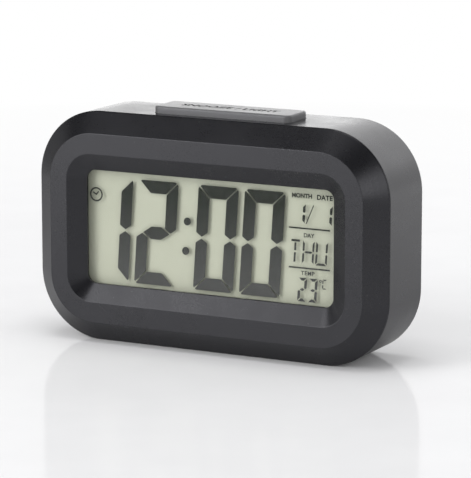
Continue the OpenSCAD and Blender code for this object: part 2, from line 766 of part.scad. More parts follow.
// One key: cap through the back wall, lip behind it and pusher down to its switch
module key(i) stand() translate([key_xs[i], key_y, 0]) {
    tip = case_d + key_proud;
    difference() {
        union() {
            translate([0, 0, key_lip_top - lip_t])
                cylinder(r = key_r, h = tip - 0.3 - key_lip_top + lip_t);
            translate([0, 0, tip - 0.3]) cylinder(r1 = key_r, r2 = key_r - 0.3, h = 0.3);
        }
        translate([0, 0, tip + dish_r - dish_deep]) sphere(dish_r);
    }
    translate([0, 0, key_lip_top - lip_t]) cylinder(r = key_r + key_lip, h = lip_t);
    translate([0, 0, tact_top + plunger_h])
        cylinder(r = plunger_r - 0.3, h = key_lip_top - lip_t - tact_top - plunger_h + 0.2);
}
module key_plunger(i) stand() translate([key_xs[i], key_y, tact_top]) plunger();

module mode_key() color("#4a4a4c") key(0);
module set_key() color("#4a4a4c") key(1);
module up_key() color("#4a4a4c") key(2);
module down_key() color("#4a4a4c") key(3);
module alarm_key() color("#4a4a4c") key(4);
module mode_plunger() color("#d9d2bd") key_plunger(0);
module set_plunger() color("#d9d2bd") key_plunger(1);
module up_plunger() color("#d9d2bd") key_plunger(2);
module down_plunger() color("#d9d2bd") key_plunger(3);
module alarm_plunger() color("#d9d2bd") key_plunger(4);

// Flat cable folded between the key board and the main board
module key_ribbon() color("#b8b8ba") stand() {
    r = (key_board_z - board_back - 0.1) / 2;
    translate([ribbon_x, key_y - 1, board_back + 0.05 + r])
        rotate([90, 0, 90]) linear_extrude(ribbon_w) {
            difference() {
                circle(r);
                circle(r - ribbon_t);
                translate([0, -r - 1]) square([r + 1, 2 * r + 2]);
            }
            for (sy = [-1, 1]) translate([0, sy * (r - ribbon_t / 2) - ribbon_t / 2])
                square([3 * ribbon_t, ribbon_t]);
        }
}

// ---------- alarm switch ----------

module slide_switch() color("#b9bcc0") stand() difference() {
    translate([switch_x - slider_w / 2, key_y - slider_h / 2, key_board_back])
        cube([slider_w, slider_h, slider_top - key_board_back]);
    box([switch_x - (switch_travel + stem_w) / 2 - gap, key_y - stem_h / 2 - gap, slider_top - 2],
        [switch_x + (switch_travel + stem_w) / 2 + gap, key_y + stem_h / 2 + gap, slider_top + 1]);
}

module alarm_knob() color("#4a4a4c") stand()
    translate([switch_x - switch_travel / 2, key_y, 0]) {
        tip = case_d + knob_proud;
        lip_half = knob_w / 2 + switch_travel + 0.5;
        difference() {
            box([-knob_w / 2, -knob_h / 2, key_lip_top - lip_t], [knob_w / 2, knob_h / 2, tip]);
            for (i = [-1:1]) translate([i * 1.1, 0, tip]) rotate([0, 45, 0])
                cube([0.5, knob_h + 1, 0.5], center = true);
        }
        box([-lip_half, -knob_h / 2 - knob_lip, key_lip_top - lip_t],
            [lip_half, knob_h / 2 + knob_lip, key_lip_top]);
        box([-stem_w / 2, -stem_h / 2, slider_top - 1.6],
            [stem_w / 2, stem_h / 2, key_lip_top - lip_t + 0.1]);
    }

// ---------- batteries ----------

module battery_door() color("#444446") stand() {
    difference() {
        slab(door_in, case_d) door_outline(0);
        // Grip grooves across the door under the latch
        for (i = [0:3]) box([-9, door_top - 5.2 - 1.6 * i, case_d - 0.35],
                            [9, door_top - 4.5 - 1.6 * i, case_d + 1]);
    }
    for (sx = [-1, 1]) {
        box([sx * tab_x - tab_w / 2, door_low - tab_l, tab_z],
            [sx * tab_x + tab_w / 2, door_low + 2, tab_z + tab_t]);
        box([sx * tab_x - tab_w / 2, door_low + 0.05, tab_z + tab_t - 0.2],
            [sx * tab_x + tab_w / 2, door_low + 2, door_in + 0.4]);
    }
    bend_r = latch_bend / 2 + latch_t;
    translate([-latch_w / 2, door_top + latch_bend / 2, 0]) rotate([90, 0, 90])
        linear_extrude(latch_w) {
            difference() {
                translate([0, latch_z + bend_r]) circle(bend_r);
                translate([0, latch_z + bend_r]) circle(bend_r - latch_t);
                translate([-bend_r - 1, latch_z + bend_r]) square([2 * bend_r + 2, bend_r + 1]);
            }
            translate([-bend_r, latch_z + bend_r]) square([latch_t, door_in + 0.4 - latch_z - bend_r]);
            translate([bend_r - latch_t, latch_z + bend_r])
                square([latch_t, case_d - latch_z - bend_r]);
            // Catch
            translate([bend_r - 0.1, back_in - 1.5])
                polygon([[0, 0], [0.6, 0.5], [0.6, 1.1], [0, 1.1]]);
        }
}

// One cell along x from its flat end at 0 to the tip of its button
module cell() rotate([0, 90, 0]) {
    nub = 1;
    r = cell_d / 2;
    rotate_extrude() polygon([
        [0, 0], [r - 0.8, 0], [r - 0.8, 0.25], [r, 0.25], [r, cell_l - nub - 0.3],
        [r - 0.3, cell_l - nub], [1.9, cell_l - nub], [1.9, cell_l], [0, cell_l]]);
}

// Row 1 points left, rows 0 and 2 point right
module in_row(i) translate([0, row_y(i), cell_z]) mirror([i == 1 ? 1 : 0, 0, 0]) children();

module battery_cells() color("#5c6670") stand()
    for (i = [0:2]) in_row(i)
        translate([bay_w / 2 - strip_t - stack_gap - cell_l, 0, 0]) cell();

module contact_springs() color("#d0d0d2") stand()
    for (i = [0:2]) in_row(i) translate([-bay_w / 2 + strip_t + stack_gap / 2, 0, 0])
        rotate([0, 90, 0])
            tube(coil(0.9 * pad_half, 0.52 * pad_half, spring_room, 0.35, 3.5), 0.35, sides = 6);

module contact_bridges() color("#d0d0d2") stand()
    for (end = [[-1, 1], [1, 0]]) {
        x = end[0] * (bay_w / 2 - strip_t / 2);
        y0 = row_y(end[1]) - pad_half;
        y1 = row_y(end[1] + 1) + pad_half;
        translate([x, (y0 + y1) / 2, cell_z])
            cube([strip_t - 0.02, y1 - y0, 2 * pad_half], center = true);
    }

module terminal_plates() color("#d0d0d2") stand()
    for (end = [[-1, 0], [1, 2]])
    translate([0, row_y(end[1]), cell_z]) mirror([end[0] < 0 ? 1 : 0, 0, 0]) {
        x = bay_w / 2;
        box([x - strip_t, -pad_half, -pad_half], [x - 0.01, pad_half, pad_half]);
        box([x - strip_t, -1, -strip_t / 2], [x + bay_wall + tail_l, 1, strip_t / 2]);
    }

module battery_wires() color("#b02020") stand()
    for (end = [[-1, 0], [1, 2]]) {
        sx = end[0];
        x = bay_w / 2 + bay_wall + tail_l + 0.1;
        y = row_y(end[1]);
        z = board_back + 0.1;
        reach = (cell_z - z) / 3;
        tube(bend([sx * x, y, cell_z], [sx * (x + reach), y, cell_z],
                  [sx * (x + reach), y + reach / 2, z + 1.6 * reach],
                  [sx * (x + reach), y + reach / 2, z]), 0.6, side = [0.1, 0.99, 0.05]);
    }

// ---------- buzzer ----------

module buzzer_plate() color("#c8a24a") stand()
    translate([buzzer_x, buzzer_y, buzzer_z - 0.27]) cylinder(r = buzzer_r, h = 0.25);

module buzzer_wafer() color("#e8e6df") stand()
    translate([buzzer_x, buzzer_y, buzzer_z - 0.49]) cylinder(r = 0.7 * buzzer_r, h = 0.2);

module buzzer_wires() color("#303030") stand() {
    z0 = board_back + 0.1;
    for (i = [0, 1]) {
        x0 = buzzer_wire_x[i] - 0.4 * buzzer_r;
        x1 = buzzer_wire_x[i];
        z1 = buzzer_z - (i == 0 ? 0.6 : 0.35);
        reach = (z1 - z0) / 2;
        tube(bend([x1, buzzer_y, z1], [x1, buzzer_y, z1 - reach],
                  [x0, buzzer_y, z0 + reach], [x0, buzzer_y, z0]), 0.4, side = [0.05, 0.99, 0.05]);
    }
}

front_bezel();
rear_case();
case_screws();
lcd_front_polarizer();
lcd_front_glass();
lcd_rear_glass();
lcd_rear_polarizer();
light_guide();
light_reflector();
backlight_leds();
lcd_holder();
zebra_strip();
main_board();
board_screws();
chip_blob();
crystal();
capacitor();
thermistor();
chip_resistors();
snooze_bar();
snooze_springs();
snooze_board();
snooze_board_screws();
snooze_switch();
snooze_plunger();
snooze_wires();
key_board();
key_board_screws();
key_switches();
key_ribbon();
mode_key();
set_key();
up_key();
down_key();
alarm_key();
mode_plunger();
set_plunger();
up_plunger();
down_plunger();
alarm_plunger();
slide_switch();
alarm_knob();
battery_door();
battery_cells();
contact_springs();
contact_bridges();
terminal_plates();
battery_wires();
buzzer_plate();
buzzer_wafer();
buzzer_wires();
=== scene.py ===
import json
import math
from collections import namedtuple

import bmesh
import bpy
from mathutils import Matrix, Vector


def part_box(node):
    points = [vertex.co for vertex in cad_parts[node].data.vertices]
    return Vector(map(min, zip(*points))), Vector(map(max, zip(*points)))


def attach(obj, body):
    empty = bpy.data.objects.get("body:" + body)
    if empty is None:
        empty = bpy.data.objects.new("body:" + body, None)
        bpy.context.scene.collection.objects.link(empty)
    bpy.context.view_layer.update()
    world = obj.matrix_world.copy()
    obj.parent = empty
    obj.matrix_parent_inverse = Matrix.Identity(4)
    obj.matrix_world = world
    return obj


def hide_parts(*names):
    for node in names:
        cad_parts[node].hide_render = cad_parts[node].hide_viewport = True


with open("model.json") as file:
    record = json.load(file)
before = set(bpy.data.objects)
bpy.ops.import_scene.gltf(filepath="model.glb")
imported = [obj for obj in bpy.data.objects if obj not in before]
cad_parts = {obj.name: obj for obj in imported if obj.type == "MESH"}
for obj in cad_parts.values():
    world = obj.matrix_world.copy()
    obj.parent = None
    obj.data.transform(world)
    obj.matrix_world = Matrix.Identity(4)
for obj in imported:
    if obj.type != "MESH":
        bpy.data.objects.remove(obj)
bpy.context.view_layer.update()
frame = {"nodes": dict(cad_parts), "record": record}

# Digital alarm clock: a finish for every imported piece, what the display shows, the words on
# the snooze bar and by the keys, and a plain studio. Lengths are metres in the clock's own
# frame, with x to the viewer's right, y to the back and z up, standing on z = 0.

MM = 0.001

# ---------------------------------------------------------------- places from the frame

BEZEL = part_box("front_bezel")
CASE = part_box("rear_case")
FRONT_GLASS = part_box("lcd_front_glass")
MID_Z = (BEZEL[0].z + BEZEL[1].z) / 2
BACK_Y = CASE[1].y


def node_middle(node):
    low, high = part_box(node)
    return (low + high) / 2


# ---------------------------------------------------------------- material helpers

NOISE_LOW, NOISE_HIGH = 0.3, 0.7  # nearly all of a noise lies between these
# 1 less the cosine of a rounded normal's turn, where an edge begins and where it is full
EDGE_START, EDGE_FULL = 0.002, 0.09
BEVEL_SAMPLES = 6
# The Mix node's sockets: two numbers, then two colours and the colour that comes out
NUMBER_A, NUMBER_B = 2, 3
COLOUR_A, COLOUR_B, COLOUR_OUT = 6, 7, 2


class Nodes:
    """A material's node tree, with one short call for each kind of node."""

    def __init__(self, name):
        self.material = bpy.data.materials.new(name)
        self.material.use_nodes = True
        self.tree = self.material.node_tree
        self.shader = self.tree.nodes["Principled BSDF"]
        self.place = self.add("ShaderNodeTexCoord").outputs["Object"]

    def add(self, kind, **settings):
        node = self.tree.nodes.new(kind)
        for key, value in settings.items():
            setattr(node, key, value)
        return node

    def link(self, a, b):
        self.tree.links.new(a, b)

    def put(self, socket, value):
        """Links an output, or sets a plain value."""
        if isinstance(value, bpy.types.NodeSocket):
            self.link(value, socket)
        else:
            socket.default_value = value

    def axis(self, name):
        node = self.add("ShaderNodeSeparateXYZ")
        self.link(self.place, node.inputs[0])
        return node.outputs[name]

    def stretched(self, scale):
        """Object coordinates scaled by a different amount along each axis."""
        node = self.add("ShaderNodeMapping")
        self.link(self.place, node.inputs["Vector"])
        node.inputs["Scale"].default_value = scale
        return node.outputs["Vector"]

    def noise(self, size, detail=2.0, roughness=0.5, vector=None):
        """Noise whose blobs are about size metres across."""
        node = self.add("ShaderNodeTexNoise")
        self.link(vector or self.place, node.inputs["Vector"])
        node.inputs["Scale"].default_value = 1.0 / size
        node.inputs["Detail"].default_value = detail
        node.inputs["Roughness"].default_value = roughness
        return node.outputs["Fac"]

    def cells(self, size, feature="F1"):
        """Distance within irregular cells that are about size metres across."""
        node = self.add("ShaderNodeTexVoronoi", feature=feature)
        self.link(self.place, node.inputs["Vector"])
        node.inputs["Scale"].default_value = 1.0 / size
        return node.outputs["Distance"]

    def math(self, operation, a, b=0.0):
        node = self.add("ShaderNodeMath", operation=operation)
        self.put(node.inputs[0], a)
        self.put(node.inputs[1], b)
        return node.outputs[0]

    def measured(self, operation, vector, other=None):
        """A vector's own length, or its dot product with another one."""
        node = self.add("ShaderNodeVectorMath", operation=operation)
        self.link(vector, node.inputs[0])
        if other is not None:
            self.put(node.inputs[1], other)
        return node.outputs["Value"]

    def ramp(self, value, low, high, out_low=0.0, out_high=1.0):
        """Straight line from (low, out_low) to (high, out_high), held at its ends."""
        node = self.add("ShaderNodeMapRange")
        self.put(node.inputs["Value"], value)
        node.inputs["From Min"].default_value = low
        node.inputs["From Max"].default_value = high
        node.inputs["To Min"].default_value = out_low
        node.inputs["To Max"].default_value = out_high
        return node.outputs["Result"]

    def spread(self, noise, low, high):
        """A number that goes from low to high with a noise."""
        return self.ramp(noise, NOISE_LOW, NOISE_HIGH, low, high)

    def mix(self, factor, a, b):
        """Colour a where factor is 0, b where it is 1."""
        node = self.add("ShaderNodeMix", data_type="RGBA")
        self.put(node.inputs[0], factor)
        self.put(node.inputs[COLOUR_A], a)
        self.put(node.inputs[COLOUR_B], b)
        return node.outputs[COLOUR_OUT]

    def lay(self, under, over, pattern, low=NOISE_LOW, high=NOISE_HIGH, share=1.0):
        """One colour laid over another where a pattern rises from low to high, and never
        covering more than its share."""
        return self.mix(self.ramp(pattern, low, high, 0.0, share), under, over)

    def between(self, factor, a, b):
        """Number a where factor is 0, b where it is 1."""
        node = self.add("ShaderNodeMix")
        self.put(node.inputs[0], factor)
        self.put(node.inputs[NUMBER_A], a)
        self.put(node.inputs[NUMBER_B], b)
        return node.outputs[0]

    def rounded_normal(self, radius):
        """The surface's normal as if its sharp edges were rounded."""
        node = self.add("ShaderNodeBevel", samples=BEVEL_SAMPLES)
        node.inputs["Radius"].default_value = radius
        return node.outputs["Normal"]

    def edges(self, radius):
        """1 along the solid's sharp edges, fading out over radius."""
        flat = self.add("ShaderNodeNewGeometry").outputs["True Normal"]
        facing = self.measured("DOT_PRODUCT", self.rounded_normal(radius), flat)
        return self.ramp(self.math("SUBTRACT", 1.0, facing), EDGE_START, EDGE_FULL)

    def bump(self, height, depth, normal=None):
        node = self.add("ShaderNodeBump")
        node.inputs["Distance"].default_value = depth
        self.link(height, node.inputs["Height"])
        if normal is not None:
            self.link(normal, node.inputs["Normal"])
        return node.outputs["Normal"]

    def finish(self, colour, roughness, normal, **sockets):
        """Joins these to the shader, and further sockets named with _ for a space."""
        self.put(self.shader.inputs["Base Color"], colour)
        self.put(self.shader.inputs["Roughness"], roughness)
        if normal is not None:
            self.link(normal, self.shader.inputs["Normal"])
        for key, value in sockets.items():
            self.put(self.shader.inputs[key.replace("_", " ")], value)
        return self.material


def rgb(r, g, b):
    return (r, g, b, 1.0)


def grey(level):
    return rgb(level, level, level)


def scaled(tone, gain):
    """A lighter or darker tone of the same colour."""
    return rgb(*(min(1.0, channel * gain) for channel in tone[:3]))


# ---------------------------------------------------------------- materials

BLACK = rgb(0.0065, 0.0065, 0.0080)
COOL = rgb(0.94, 0.94, 1.0)  # the tint of the black plastic's shine
DUST = grey(0.16)
BARE_METAL = grey(0.55)
SMALL_EDGE = 0.15 * MM  # how round the edges of small moulded pieces look
METAL_EDGE = 0.12 * MM
# Scales along the axes that turn a noise into streaks
METAL_STREAKS = (1.0, 1.0, 14.0)
JACKET_SCUFFS = (1.0, 4.0, 4.0)
INK_STREAKS = (1.0, 1.0, 0.15)
TRACK_SIZE = 2.6 * MM
PAD_PITCH = 2.54 * MM
ZEBRA_PITCH = 0.2 * MM
INK_SHEEN_LOW, INK_SHEEN_HIGH = MID_Z - 20 * MM, MID_Z + 12 * MM  # where the segments' painted sheen, lighter towards the bottom, begins and ends


def moulded(name, tone, rough, grain=0.35 * MM, grain_depth=0.004 * MM, edge=0.35 * MM,
            edge_wear_and_shade=0.5, edge_gain=2.1, edge_rough=-0.1):
    """Moulded plastic with a fine spark texture, faint patches where it has been touched
    and a few specks of dust. Along its edges, up to the strength given for them, the tone goes
    over to edge_gain times itself, and edge_rough is added to the roughness. Above 1 that gives
    lighter, scuffed edges; below 1 it is painted shade, dark lines that stand in for the dark
    reflections on rounded glossy edges."""
    n = Nodes(name)
    fine = n.noise(grain, detail=3.0, roughness=0.6)
    pits = n.cells(grain * 0.8)
    patches = n.noise(22 * MM, detail=4.0, roughness=0.55)
    edge_patchiness = n.noise(3 * MM, detail=4.0)
    specks = n.noise(0.9 * MM, detail=1.0)
    # Edge mark: lighter scuffed edges where edge_gain is above 1, painted shade where it is
    # below 1
    worn_and_shaded_edges = n.math("MULTIPLY", n.edges(edge), n.ramp(edge_patchiness, 0.42, 0.62, 0.15, edge_wear_and_shade))
    touched, shadowed, edge_wear_and_shade_tone = scaled(tone, 1.12), scaled(tone, 0.72), scaled(tone, edge_gain)
    shade = n.lay(tone, touched, patches)
    shade = n.lay(shade, shadowed, fine, 0.35, 0.65, share=0.35)
    shade = n.mix(worn_and_shaded_edges, shade, edge_wear_and_shade_tone)
    shade = n.lay(shade, DUST, specks, 0.74, 0.8, share=0.25)
    gloss = n.math("ADD", n.spread(patches, rough - 0.04, rough + 0.04),
                   n.spread(fine, -0.04, 0.04))
    gloss = n.math("ADD", gloss, n.math("MULTIPLY", worn_and_shaded_edges, edge_rough))
    height = n.math("ADD", fine, n.math("MULTIPLY", pits, 0.5))
    normal = n.bump(height, grain_depth, n.rounded_normal(edge))
    return n.finish(shade, gloss, normal, Specular_Tint=COOL)


def plain_plastic(name, tone, rough):
    """Small moulded piece: light mottling, fine bump and softened edges."""
    n = Nodes(name)
    fine = n.noise(0.25 * MM)
    cloudy = n.noise(4 * MM, detail=3.0)
    shade = n.lay(tone, scaled(tone, 0.86), cloudy)
    normal = n.bump(fine, 0.004 * MM, n.rounded_normal(SMALL_EDGE))
    return n.finish(shade, n.spread(fine, rough - 0.05, rough + 0.05), normal)


def metal(name, tone, rough):
    """Plated metal: streaks along one axis and a few dull spots."""
    n = Nodes(name)
    streaks = n.noise(0.6 * MM, detail=4.0, roughness=0.7, vector=n.stretched(METAL_STREAKS))
    spots = n.noise(1.6 * MM, detail=3.0)
    shade = n.lay(tone, scaled(tone, 0.62), spots, 0.45, 0.75, share=0.6)
    gloss = n.math("ADD", n.spread(streaks, rough - 0.07, rough + 0.07),
                   n.ramp(spots, 0.5, 0.8, 0.0, 0.15))
    normal = n.bump(streaks, 0.004 * MM, n.rounded_normal(METAL_EDGE))
    return n.finish(shade, gloss, normal, Metallic=1.0)


def circuit_board(name):
    """Green solder mask over copper tracks, with tinned pads."""
    n = Nodes(name)
    mask, copper, tin = rgb(0.012, 0.115, 0.035), rgb(0.02, 0.2, 0.07), rgb(0.6, 0.58, 0.52)
    tracks = n.ramp(n.cells(TRACK_SIZE, feature="DISTANCE_TO_EDGE"), 0.04, 0.07, 1.0, 0.0)
    pads = n.ramp(n.cells(PAD_PITCH), 0.1, 0.13, 1.0, 0.0)
    shade = n.mix(pads, n.mix(tracks, mask, copper), tin)
    normal = n.bump(tracks, 0.02 * MM, n.rounded_normal(SMALL_EDGE))
    return n.finish(shade, n.ramp(pads, 0.0, 1.0, 0.35, 0.25), normal, Coat_Weight=0.3)


def reflective_film(name, low, high):
    """The display's silver-green ground: satin, very finely grained, and a touch darker
    towards its top, a painted shade."""
    n = Nodes(name)
    fine = n.noise(0.18 * MM)
    broad = n.noise(16 * MM)
    # Painted shade: from the low colour at the bottom of the glass to the darker high colour at
    # its top
    height = n.ramp(n.axis("Z"), FRONT_GLASS[0].z, FRONT_GLASS[1].z)
    shade = n.mix(height, low, high)
    shade = n.lay(shade, rgb(0.62, 0.64, 0.52), broad, share=0.12)
    shade = n.lay(shade, grey(0.3), fine, 0.4, share=0.12)
    return n.finish(shade, n.spread(fine, 0.5, 0.62), n.bump(fine, 0.002 * MM))


def clear_sheet(name, tone, alpha, rough):
    """A sheet that is looked through: thin tint, satin face, a trace of dust."""
    n = Nodes(name)
    fine = n.noise(0.3 * MM)
    dust = n.noise(6 * MM, detail=3.0)
    shade = n.lay(tone, grey(0.7), dust, share=0.3)
    gloss = n.spread(fine, rough - 0.03, rough + 0.05)
    return n.finish(shade, gloss, n.bump(fine, 0.001 * MM), Alpha=alpha)


def zebra_rubber(name):
    """Grey silicone with black conducting layers across it."""
    n = Nodes(name)
    wave = n.math("SINE", n.math("MULTIPLY", n.axis("X"), 2 * math.pi / ZEBRA_PITCH))
    stripes = n.ramp(wave, -0.2, 0.2)
    shade = n.mix(stripes, rgb(0.12, 0.12, 0.115), grey(0.02))
    gloss = n.spread(n.noise(0.3 * MM), 0.6, 0.75)
    return n.finish(shade, gloss, n.bump(stripes, 0.004 * MM))


def cell_jacket(name):
    """Plain two-tone battery jacket, with bare metal at both ends."""
    n = Nodes(name)
    low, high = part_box("battery_cells")
    length = high.x - low.x
    along = n.math("ABSOLUTE", n.math("SUBTRACT", n.axis("X"), (low.x + high.x) / 2))
    scuffs = n.noise(1.2 * MM, detail=5.0, roughness=0.7, vector=n.stretched(JACKET_SCUFFS))
    ends = n.ramp(along, length / 2 - 1.6 * MM, length / 2 - 1.5 * MM)
    band, rest = rgb(0.32, 0.33, 0.35), rgb(0.02, 0.05, 0.11)
    shade = n.lay(band, rest, along, length * 0.2, length * 0.2 + 0.3 * MM)
    shade = n.mix(ends, shade, BARE_METAL)
    shade = n.lay(shade, grey(0.4), scuffs, 0.62, 0.72, share=0.3)
    normal = n.bump(scuffs, 0.006 * MM)
    return n.finish(shade, n.spread(scuffs, 0.25, 0.38), normal, Metallic=ends)


def wire_sleeve(name, tone):
    """Smooth insulation, slightly uneven in colour."""
    n = Nodes(name)
    cloudy = n.noise(2 * MM)
    shade = n.lay(tone, scaled(tone, 0.8), cloudy)
    return n.finish(shade, n.spread(cloudy, 0.35, 0.45), n.bump(n.noise(0.3 * MM), 0.003 * MM))


def display_ink(name, top, bottom):
    """Dark segments, lighter towards the bottom: a painted sheen that stands in for the front
    film's reflection.
    """
    n = Nodes(name)
    fine = n.noise(0.25 * MM)
    streaks = n.noise(1.5 * MM, detail=3.0, vector=n.stretched(INK_STREAKS))
    # Painted sheen: the segments go from the lighter bottom colour to the near-black top colour
    shade = n.mix(n.ramp(n.axis("Z"), INK_SHEEN_LOW, INK_SHEEN_HIGH), bottom, top)
    shade = n.lay(shade, rgb(0.06, 0.06, 0.075), streaks, 0.35, 0.65, share=0.15)
    gloss = n.spread(fine, 0.5, 0.6)
    return n.finish(shade, gloss, n.bump(fine, 0.001 * MM), Specular_IOR_Level=0.15)


def printed_ink(name, tone, shine):
    """Pad-printed ink, a little uneven in thickness."""
    n = Nodes(name)
    fine = n.noise(0.12 * MM, detail=3.0)
    shade = n.lay(tone, scaled(tone, 0.6), fine, 0.45, share=0.35)
    gloss = n.spread(fine, 0.45, 0.6)
    return n.finish(shade, gloss, n.bump(fine, 0.003 * MM), Specular_IOR_Level=shine)


# The finish of each material slot in the record
FINISHES = {
    "bezel_plastic": moulded("bezel_plastic", BLACK, 0.30),
    "case_plastic": moulded("case_plastic", BLACK, 0.30, grain=0.4 * MM),
    # Snooze bar: its grey tone, far lighter than the black of the case, is a painted sheen for
    # the bright reflection on its glossy black front; edge_gain 0.1 darkens its rounded edges,
    # a painted shade for the dark they reflect
    "bar_gloss": moulded("bar_gloss", rgb(0.125, 0.125, 0.128), 0.35, grain=0.3 * MM,
                         grain_depth=0.001 * MM, edge=0.9 * MM, edge_wear_and_shade=1.0, edge_gain=0.1,
                         edge_rough=0.1),
    "key_plastic": moulded("key_plastic", rgb(0.03, 0.03, 0.031), 0.36, grain=0.25 * MM,
                           grain_depth=0.003 * MM, edge=0.2 * MM, edge_wear_and_shade=0.8),
    "screw_steel": metal("screw_steel", rgb(0.45, 0.45, 0.46), 0.32),
    "spring_steel": metal("spring_steel", rgb(0.62, 0.61, 0.59), 0.28),
    "brass": metal("brass", rgb(0.68, 0.47, 0.17), 0.3),
    # The polarizer's second colour, darker, lies at its top: painted shade
    "polarizer": reflective_film("polarizer", rgb(0.58, 0.60, 0.47), rgb(0.53, 0.555, 0.43)),
    "display_glass": clear_sheet("display_glass", rgb(0.75, 0.8, 0.72), 0.01, 0.08),
    "light_guide": plain_plastic("light_guide", rgb(0.78, 0.8, 0.78), 0.2),
    "reflector_sheet": plain_plastic("reflector_sheet", grey(0.8), 0.4),
    "led": plain_plastic("led", rgb(0.82, 0.78, 0.5), 0.35),
    "white_plastic": plain_plastic("white_plastic", rgb(0.7, 0.69, 0.66), 0.45),
    "zebra_rubber": zebra_rubber("zebra_rubber"),
    "circuit_board": circuit_board("circuit_board"),
    "black_resin": plain_plastic("black_resin", grey(0.018), 0.4),
    "capacitor_sleeve": plain_plastic("capacitor_sleeve", rgb(0.02, 0.03, 0.09), 0.28),
    "thermistor_bead": plain_plastic("thermistor_bead", rgb(0.25, 0.09, 0.025), 0.3),
    "wire": wire_sleeve("wire", rgb(0.42, 0.03, 0.025)),
    "cell_jacket": cell_jacket("cell_jacket"),
    "ceramic": plain_plastic("ceramic", rgb(0.72, 0.70, 0.64), 0.35),
}
FRONT_FILM = clear_sheet("front_film", rgb(0.26, 0.275, 0.225), 0.04, 0.34)
# Near black at the top and lighter at the bottom: painted sheen of the front film's reflection
SEGMENT_INK = display_ink("segment_ink", rgb(0.006, 0.010, 0.005), rgb(0.080, 0.082, 0.080))
MARK_INK = printed_ink("mark_ink", grey(0.34), shine=0.5)
DARK_INK = printed_ink("dark_ink", grey(0.006), shine=0.0)

for entry in frame["record"]["subparts"]:
    mesh = frame["nodes"][entry["node"]].data
    mesh.materials.clear()
    mesh.materials.append(FINISHES[entry["material_slot"]])

# ---------------------------------------------------------------- new pieces


def new_piece(name, mesh, material, body):
    """A piece that this scene adds, with its finish, on the body that it moves with."""
    mesh.materials.clear()
    mesh.materials.append(material)
    piece = bpy.data.objects.new(name, mesh)
    bpy.context.scene.collection.objects.link(piece)
    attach(piece, body)
    return piece


def mesh_of(name, shape):
    """Turns a bmesh into a mesh and lets go of it."""
    mesh = bpy.data.meshes.new(name)
    shape.to_mesh(mesh)
    shape.free()
    return mesh


def bonded_sheet(name, node, material, chamfer):
    """A clear sheet whose back is bonded to the next one. Light passes that joint as if it
    weren't there, so the sheet has a front face and a rim, and no back face."""
    low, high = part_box(node)
    shape = bmesh.new()
    rings = []
    for inset, y in ((chamfer, low.y), (0.0, low.y + chamfer), (0.0, high.y)):
        left, right = low.x + inset, high.x - inset
        foot, top = low.z + inset, high.z - inset
        corners = ((left, foot), (right, foot), (right, top), (left, top))
        rings.append([shape.verts.new((x, y, z)) for x, z in corners])
    shape.faces.new(rings[0])
    for near, far in zip(rings, rings[1:]):
        for i in range(4):
            j = (i + 1) % 4
            shape.faces.new((near[j], near[i], far[i], far[j]))
    sheet = new_piece(name, mesh_of(name, shape), material, "case")
    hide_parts(node)


FILM_CHAMFER, GLASS_CHAMFER = 0.05 * MM, 0.15 * MM
GLASS = FINISHES["display_glass"]
bonded_sheet("front_film", "lcd_front_polarizer", FRONT_FILM, FILM_CHAMFER)
bonded_sheet("front_plate", "lcd_front_glass", GLASS, GLASS_CHAMFER)
bonded_sheet("rear_plate", "lcd_rear_glass", GLASS, GLASS_CHAMFER)

# ---------------------------------------------------------------- flat marks and words

MARK_THICK = 0.012 * MM
SAME_PLACE = 1e-7  # points nearer to each other than this are one
DISC_SIDES = 40


def round_point(centre, radius, i, sides):
    """Corner i of a round outline that has so many sides."""
    turn = 2 * math.pi * i / sides
    return centre[0] + radius * math.cos(turn), centre[1] + radius * math.sin(turn)


class Marks:
    """Flat shapes that become one thin piece. They are drawn in millimetres on a plane that
    faces the front: right is along x, up is along z, and slant leans them to the right."""

    def __init__(self, name, origin, slant=0.0):
        self.name = name
        self.origin = origin
        self.slant = slant
        self.mesh = bmesh.new()

    def shape(self, points):
        """A filled outline, given in order round it."""
        back, front = [], []
        for ring, y in ((back, 0.0), (front, -MARK_THICK)):
            for x, z in points:
                place = self.origin + Vector(((x + self.slant * z) * MM, y, z * MM))
                ring.append(self.mesh.verts.new(place))
        self.mesh.faces.new(back)
        self.mesh.faces.new(front[::-1])
        for i in range(len(points)):
            j = (i + 1) % len(points)
            self.mesh.faces.new((back[i], front[i], front[j], back[j]))

    def bar(self, a, b, width):
        """A straight stroke with square ends."""
        run = Vector((b[0] - a[0], b[1] - a[1])).normalized() * (width / 2)
        side = Vector((-run.y, run.x))
        self.shape([(a[0] + side.x, a[1] + side.y), (b[0] + side.x, b[1] + side.y),
                    (b[0] - side.x, b[1] - side.y), (a[0] - side.x, a[1] - side.y)])

    def disc(self, centre, radius):
        self.shape([round_point(centre, radius, i, DISC_SIDES) for i in range(DISC_SIDES)])

    def ring(self, centre, outer, inner, sides=48):
        for i in range(sides):
            self.shape([round_point(centre, radius, corner, sides) for radius, corner in
                        ((outer, i), (outer, i + 1), (inner, i + 1), (inner, i))])

    def piece(self, material, body, slot):
        bmesh.ops.remove_doubles(self.mesh, verts=self.mesh.verts, dist=SAME_PLACE)
        bmesh.ops.recalc_face_normals(self.mesh, faces=self.mesh.faces)
        new_piece(self.name, mesh_of(self.name, self.mesh), material, body)


CAP_SHARE = 0.7  # a capital's height over the font size
# How words lie on a side: their turn, and where their right and their up point
SIDES = {
    "front": ((math.pi / 2, 0.0, 0.0), Vector((1, 0, 0)), Vector((0, 0, 1))),
    "back": ((math.pi / 2, 0.0, math.pi), Vector((-1, 0, 0)), Vector((0, 0, 1))),
    "top": ((0.0, 0.0, 0.0), Vector((1, 0, 0)), Vector((0, 1, 0))),
}
# A word's middle, its capitals' height and how much bolder its strokes are, all in
# millimetres, and the share of the plain spacing between its letters
Word = namedtuple("Word", "text right up height bold spacing")


